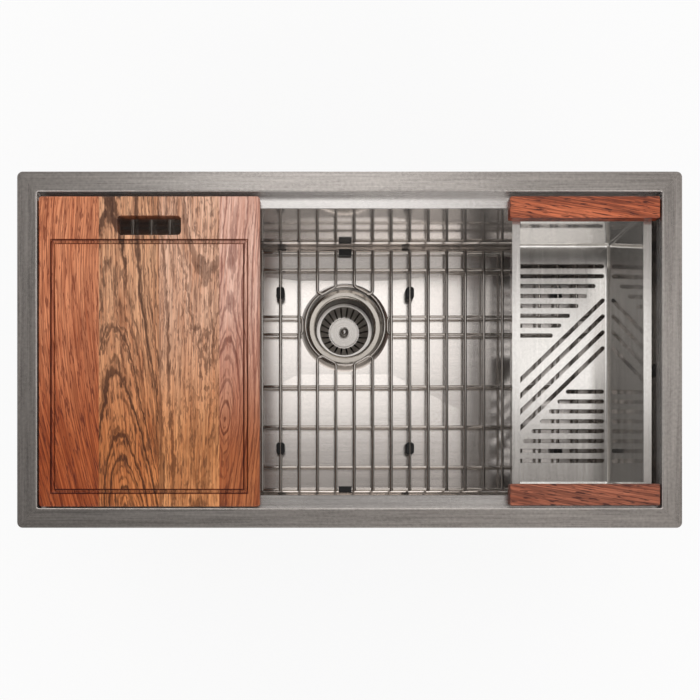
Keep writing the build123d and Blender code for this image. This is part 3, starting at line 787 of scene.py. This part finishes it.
# Cutting board and colander handles
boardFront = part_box("board_stave_1")[0].y
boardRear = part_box("board_stave_1")[1].y
# The staves' Pale and Deep colours are set at the rear half's level, so they carry a painted sheen there
staves = {
    "board_stave_1": {
        "Heart": (-0.500, 0.10, 0.030), "Rise": 0.020, "Rise Length": 0.20, "Sweep": 0.5,
        "Ring Gap": 0.0056, "Wobble": 0.014, "Jag": 0.002,
        "Pale": (0.80, 0.320, 0.160, 1), "Deep": (0.47, 0.130, 0.052, 1), "Streak": (0.15, 0.026, 0.009, 1),
        "Ring Amount": 0.60, "Streak Amount": 0.25, "Pore Amount": 0.75,
    },
    "board_stave_2": {
        "Heart": (-0.282, boardFront, 0.004), "Rise": 0.055, "Rise Length": 0.17, "Lean": -0.12,
        "Sweep": 0.18, "Ring Gap": 0.0085, "Wobble": 0.014, "Jag": 0.004,
        "Pale": (0.78, 0.420, 0.240, 1), "Deep": (0.45, 0.180, 0.086, 1), "Streak": (0.060, 0.022, 0.012, 1),
        "Ring Amount": 0.85, "Streak Amount": 0.35, "Pore Amount": 0.65,
    },
    "board_stave_3": {
        "Heart": (-0.178, boardRear, 0.006), "Rise": 0.046, "Rise Length": 0.12, "Lean": 0.03,
        "Ring Gap": 0.0100, "Wobble": 0.014, "Jag": 0.008,
        "Pale": (0.82, 0.500, 0.350, 1), "Deep": (0.54, 0.250, 0.140, 1), "Streak": (0.10, 0.040, 0.022, 1),
        "Ring Amount": 0.60, "Streak Amount": 0.12, "Pore Amount": 0.65,
    },
    "board_stave_4": {
        "Heart": (-0.157, -0.087, 0.002), "Rise": 0.024, "Rise Length": 0.085, "Lean": 0.05,
        "Ring Gap": 0.0055, "Wobble": 0.010, "Jag": 0.002,
        "Pale": (0.84, 0.540, 0.430, 1), "Deep": (0.58, 0.270, 0.190, 1), "Streak": (0.17, 0.050, 0.035, 1),
        "Ring Amount": 0.70, "Streak Amount": 0.12, "Pore Amount": 0.35,
    },
}
paintedFrontShades = {  # painted shade: what the front half's colour is multiplied by
    "board_stave_1": (0.60, 0.39, 0.25, 1),
    "board_stave_2": (0.80, 0.54, 0.32, 1),
    "board_stave_3": (0.88, 0.63, 0.36, 1),
    "board_stave_4": (0.55, 0.285, 0.13, 1),
    "handleWood": (0.70, 0.86, 1.10, 1),
}
handleLooks = {
    "Heart": (0.05, 0.25, 0.06), "Rise": 0.01, "Rise Length": 0.2, "Lean": 0.16,
    "Ring Gap": 0.0020, "Wobble": 0.007, "Jag": 0.0016,
    "Pale": (0.66, 0.180, 0.078, 1), "Deep": (0.34, 0.070, 0.027, 1), "Streak": (0.09, 0.018, 0.009, 1),
    "Ring Amount": 0.70, "Streak Amount": 0.28, "Pore Amount": 1.0,
}
woodFinish = {
    "gloss": 0.28,
    "oilCoat": 0.08,
    "oilRoughness": 0.25,
    "paintedSteepShade": (0.42, 0.28, 0.22, 1),  # painted shade on steep faces: groove walls, slot and edges
    # painted shadow on the groove's walls and painted highlight along its bottom
    "paintedGrooveShadow": (0.30, 0.17, 0.12, 1),
    "paintedGrooveHighlight": (1.20, 1.12, 1.08, 1),
    "grooveMargins": (0.018, 0.018, 0.0195, 0.0575),  # left, right, front, rear
    "grooveHalf": 0.003,
    "cutTilt": (0.75, 0.35),
    "paintedShadeEnds": (0.10, -0.14),  # where along Y the painted front shade starts and is full
    "quarterTurn": 1.5708,
    "bump": 0.35,
    "bumpDepth": 0.0008,
}


# Painted shadow along the juice groove's walls and a painted highlight along its bottom
def paintGrooveLight(tree, point, color):
    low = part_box("board_stave_1")[0]
    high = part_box("board_stave_4")[1]
    left, right, front, rear = woodFinish["grooveMargins"]
    middle = ((low.x + left + high.x - right) / 2, (low.y + front + high.y - rear) / 2, 0.0)
    reach = (high.x - right - middle[0], high.y - rear - middle[1])
    place = split(tree, vectorCalc(tree, "SUBTRACT", point, middle))
    aside = calc(tree, "SUBTRACT", calc(tree, "ABSOLUTE", place[0]), reach[0])
    ahead = calc(tree, "SUBTRACT", calc(tree, "ABSOLUTE", place[1]), reach[1])
    away = calc(tree, "ABSOLUTE", calc(tree, "MAXIMUM", aside, ahead))
    half = woodFinish["grooveHalf"]
    inner = remap(tree, away, 0.35 * half, 0.65 * half)
    grooveShadowMask = calc(tree, "MULTIPLY", inner, remap(tree, away, 1.25 * half, half))
    grooveHighlightMask = remap(tree, away, 0.5 * half, 0.2 * half)
    paintedShading = blendColor(tree, grooveShadowMask, (1, 1, 1, 1), woodFinish["paintedGrooveShadow"])
    paintedShading = blendColor(tree, grooveHighlightMask, paintedShading, woodFinish["paintedGrooveHighlight"])
    return blendColor(tree, 1.0, color, paintedShading, "MULTIPLY")


def makeWood(name, figure, paintedFrontShade, turn=0.0, grooved=False):
    material, tree, shader = newMaterial(name)
    shader["Specular IOR Level"].default_value = woodFinish["gloss"]
    shader["Coat Weight"].default_value = woodFinish["oilCoat"]
    shader["Coat Roughness"].default_value = woodFinish["oilRoughness"]
    point = objectPoint(tree)
    turned = addNode(tree, "Mapping", {"Vector": point, "Rotation": (0.0, 0.0, turn)}).outputs[0]
    grain = addNode(tree, "Group", {"Vector": turned, **figure}, node_tree=woodFigure).outputs
    # Steep faces get painted shade
    upright = calc(tree, "ABSOLUTE", split(tree, surfaceNormal(tree))[2])
    steep = remap(tree, upright, *woodFinish["cutTilt"])
    paintedShading = blendColor(tree, steep, (1, 1, 1, 1), woodFinish["paintedSteepShade"])
    # Painted shade on the front half, fading out towards the rear
    paintedShadeToFront = remap(tree, split(tree, point)[1], *woodFinish["paintedShadeEnds"])
    paintedShading = blendColor(tree, paintedShadeToFront, paintedShading, blendColor(tree, 1.0, paintedShading, paintedFrontShade, "MULTIPLY"))
    color = blendColor(tree, 1.0, grain["Color"], paintedShading, "MULTIPLY")
    if grooved:
        color = paintGrooveLight(tree, point, color)
    look = {"Color": color, "Roughness": grain["Roughness"], "Height": grain["Height"]}
    applyFinish(tree, shader, look, woodFinish["bump"], woodFinish["bumpDepth"])
    return material


for name, figure in staves.items():
    dress(makeWood(name.replace("board_", "") + "Wood", figure, paintedFrontShades[name], grooved=True), name)
handleWood = makeWood("handleWood", handleLooks, paintedFrontShades["handleWood"], woodFinish["quarterTurn"])
dress(handleWood, "colander_handle_rear", "colander_handle_front")
print("wood dressed")


# Floor, world and lights
stageLooks = {"size": 60.0, "gap": 0.001, "tone": (0.86, 0.86, 0.86, 1), "whiteShare": 0.86}


def makeFloor(values):
    material = bpy.data.materials.new("paleFloor")
    material.use_nodes = True
    tree = material.node_tree
    tree.nodes.clear()
    rays = addNode(tree, "LightPath").outputs
    seen = calc(tree, "MAXIMUM", rays["Is Camera Ray"], rays["Is Glossy Ray"])
    seen = calc(tree, "MAXIMUM", seen, rays["Is Transmission Ray"])
    share = calc(tree, "MULTIPLY", seen, values["whiteShare"])
    matt = addNode(tree, "BsdfDiffuse", {"Color": values["tone"]}).outputs[0]
    white = addNode(tree, "Emission", {"Color": (1, 1, 1, 1), "Strength": 1.0}).outputs[0]
    mixed = addNode(tree, "MixShader", {0: share, 1: matt, 2: white}).outputs[0]
    addNode(tree, "OutputMaterial", {"Surface": mixed})
    shape = bmesh.new()
    bmesh.ops.create_grid(shape, x_segments=1, y_segments=1, size=values["size"] / 2)
    bmesh.ops.translate(shape, verts=shape.verts, vec=(0.0, 0.0, cadLow.z - values["gap"]))
    floor = addShape("floor", shape, material)


worldLooks = {
    "horizon": (1.0, 1.0, 1.0, 1),
    "leftFront": (0.0, 0.0, 0.0, 1),
    "leftRear": (0.20, 0.188, 0.18, 1),
    "right": (0.36, 0.338, 0.322, 1),
    "horizonEnd": 0.45,  # height of the sky's direction where the pale band ends
    "zenithStart": 0.86,
    "sideReach": 0.30,
}


def makeWorld(values):
    world = bpy.data.worlds.new("studioWorld")
    scene.world = world
    world.use_nodes = True
    tree = world.node_tree
    tree.nodes.clear()
    direction = split(tree, addNode(tree, "TexCoord").outputs["Generated"])
    side = remap(tree, direction[0], -values["sideReach"], values["sideReach"])
    back = remap(tree, direction[1], -values["sideReach"], values["sideReach"])
    zenith = blendColor(tree, back, values["leftFront"], values["leftRear"])
    zenith = blendColor(tree, side, zenith, values["right"])
    high = remap(tree, direction[2], values["horizonEnd"], values["zenithStart"])
    sky = blendColor(tree, high, values["horizon"], zenith)
    light = addNode(tree, "Background", {"Color": sky, "Strength": 1.0}).outputs[0]
    addNode(tree, "OutputWorld", {"Surface": light})


lamps = {  # the boxes face straight down, the panels face their aim
    "softboxWide": {"place": (0.01, 0.65, 2.3), "size": (1.14, 1.02), "power": 2.15},
    "softboxCore": {"place": (-0.05, 0.67, 2.2), "size": (0.90, 0.80), "power": 2.0},
    "sideboxWide": {"place": (0.83, 0.31, 2.3), "size": (0.68, 0.50), "power": 0.66},
    "sideboxCore": {"place": (0.82, 0.29, 2.2), "size": (0.46, 0.32), "power": 0.42},
    "softboxFront": {"place": (0.50, -1.00, 2.3), "size": (1.10, 0.60), "power": 2.8},
    "panelFront": {"place": (0.0, -2.3, 1.45), "size": (5.0, 1.8), "power": 36.0, "aim": (0.0, 0.0, -0.1)},
    "panelRear": {"place": (0.0, 2.3, 1.45), "size": (5.0, 1.8), "power": 36.0, "aim": (0.0, 0.0, -0.1)},
}


def makeLamp(name, values):
    data = bpy.data.lights.new(name, "AREA")
    data.shape = "RECTANGLE"
    data.size, data.size_y = values["size"]
    data.energy = values["power"]
    lamp = bpy.data.objects.new(name, data)
    place = Vector(values["place"])
    lamp.location = place
    aim = Vector(values.get("aim", (place.x, place.y, 0.0)))
    lamp.rotation_euler = (aim - place).to_track_quat("-Z", "Y").to_euler()
    lamp.visible_camera = False
    scene.collection.objects.link(lamp)


makeFloor(stageLooks)
makeWorld(worldLooks)
for name, values in lamps.items():
    makeLamp(name, values)
print("stage and light set")
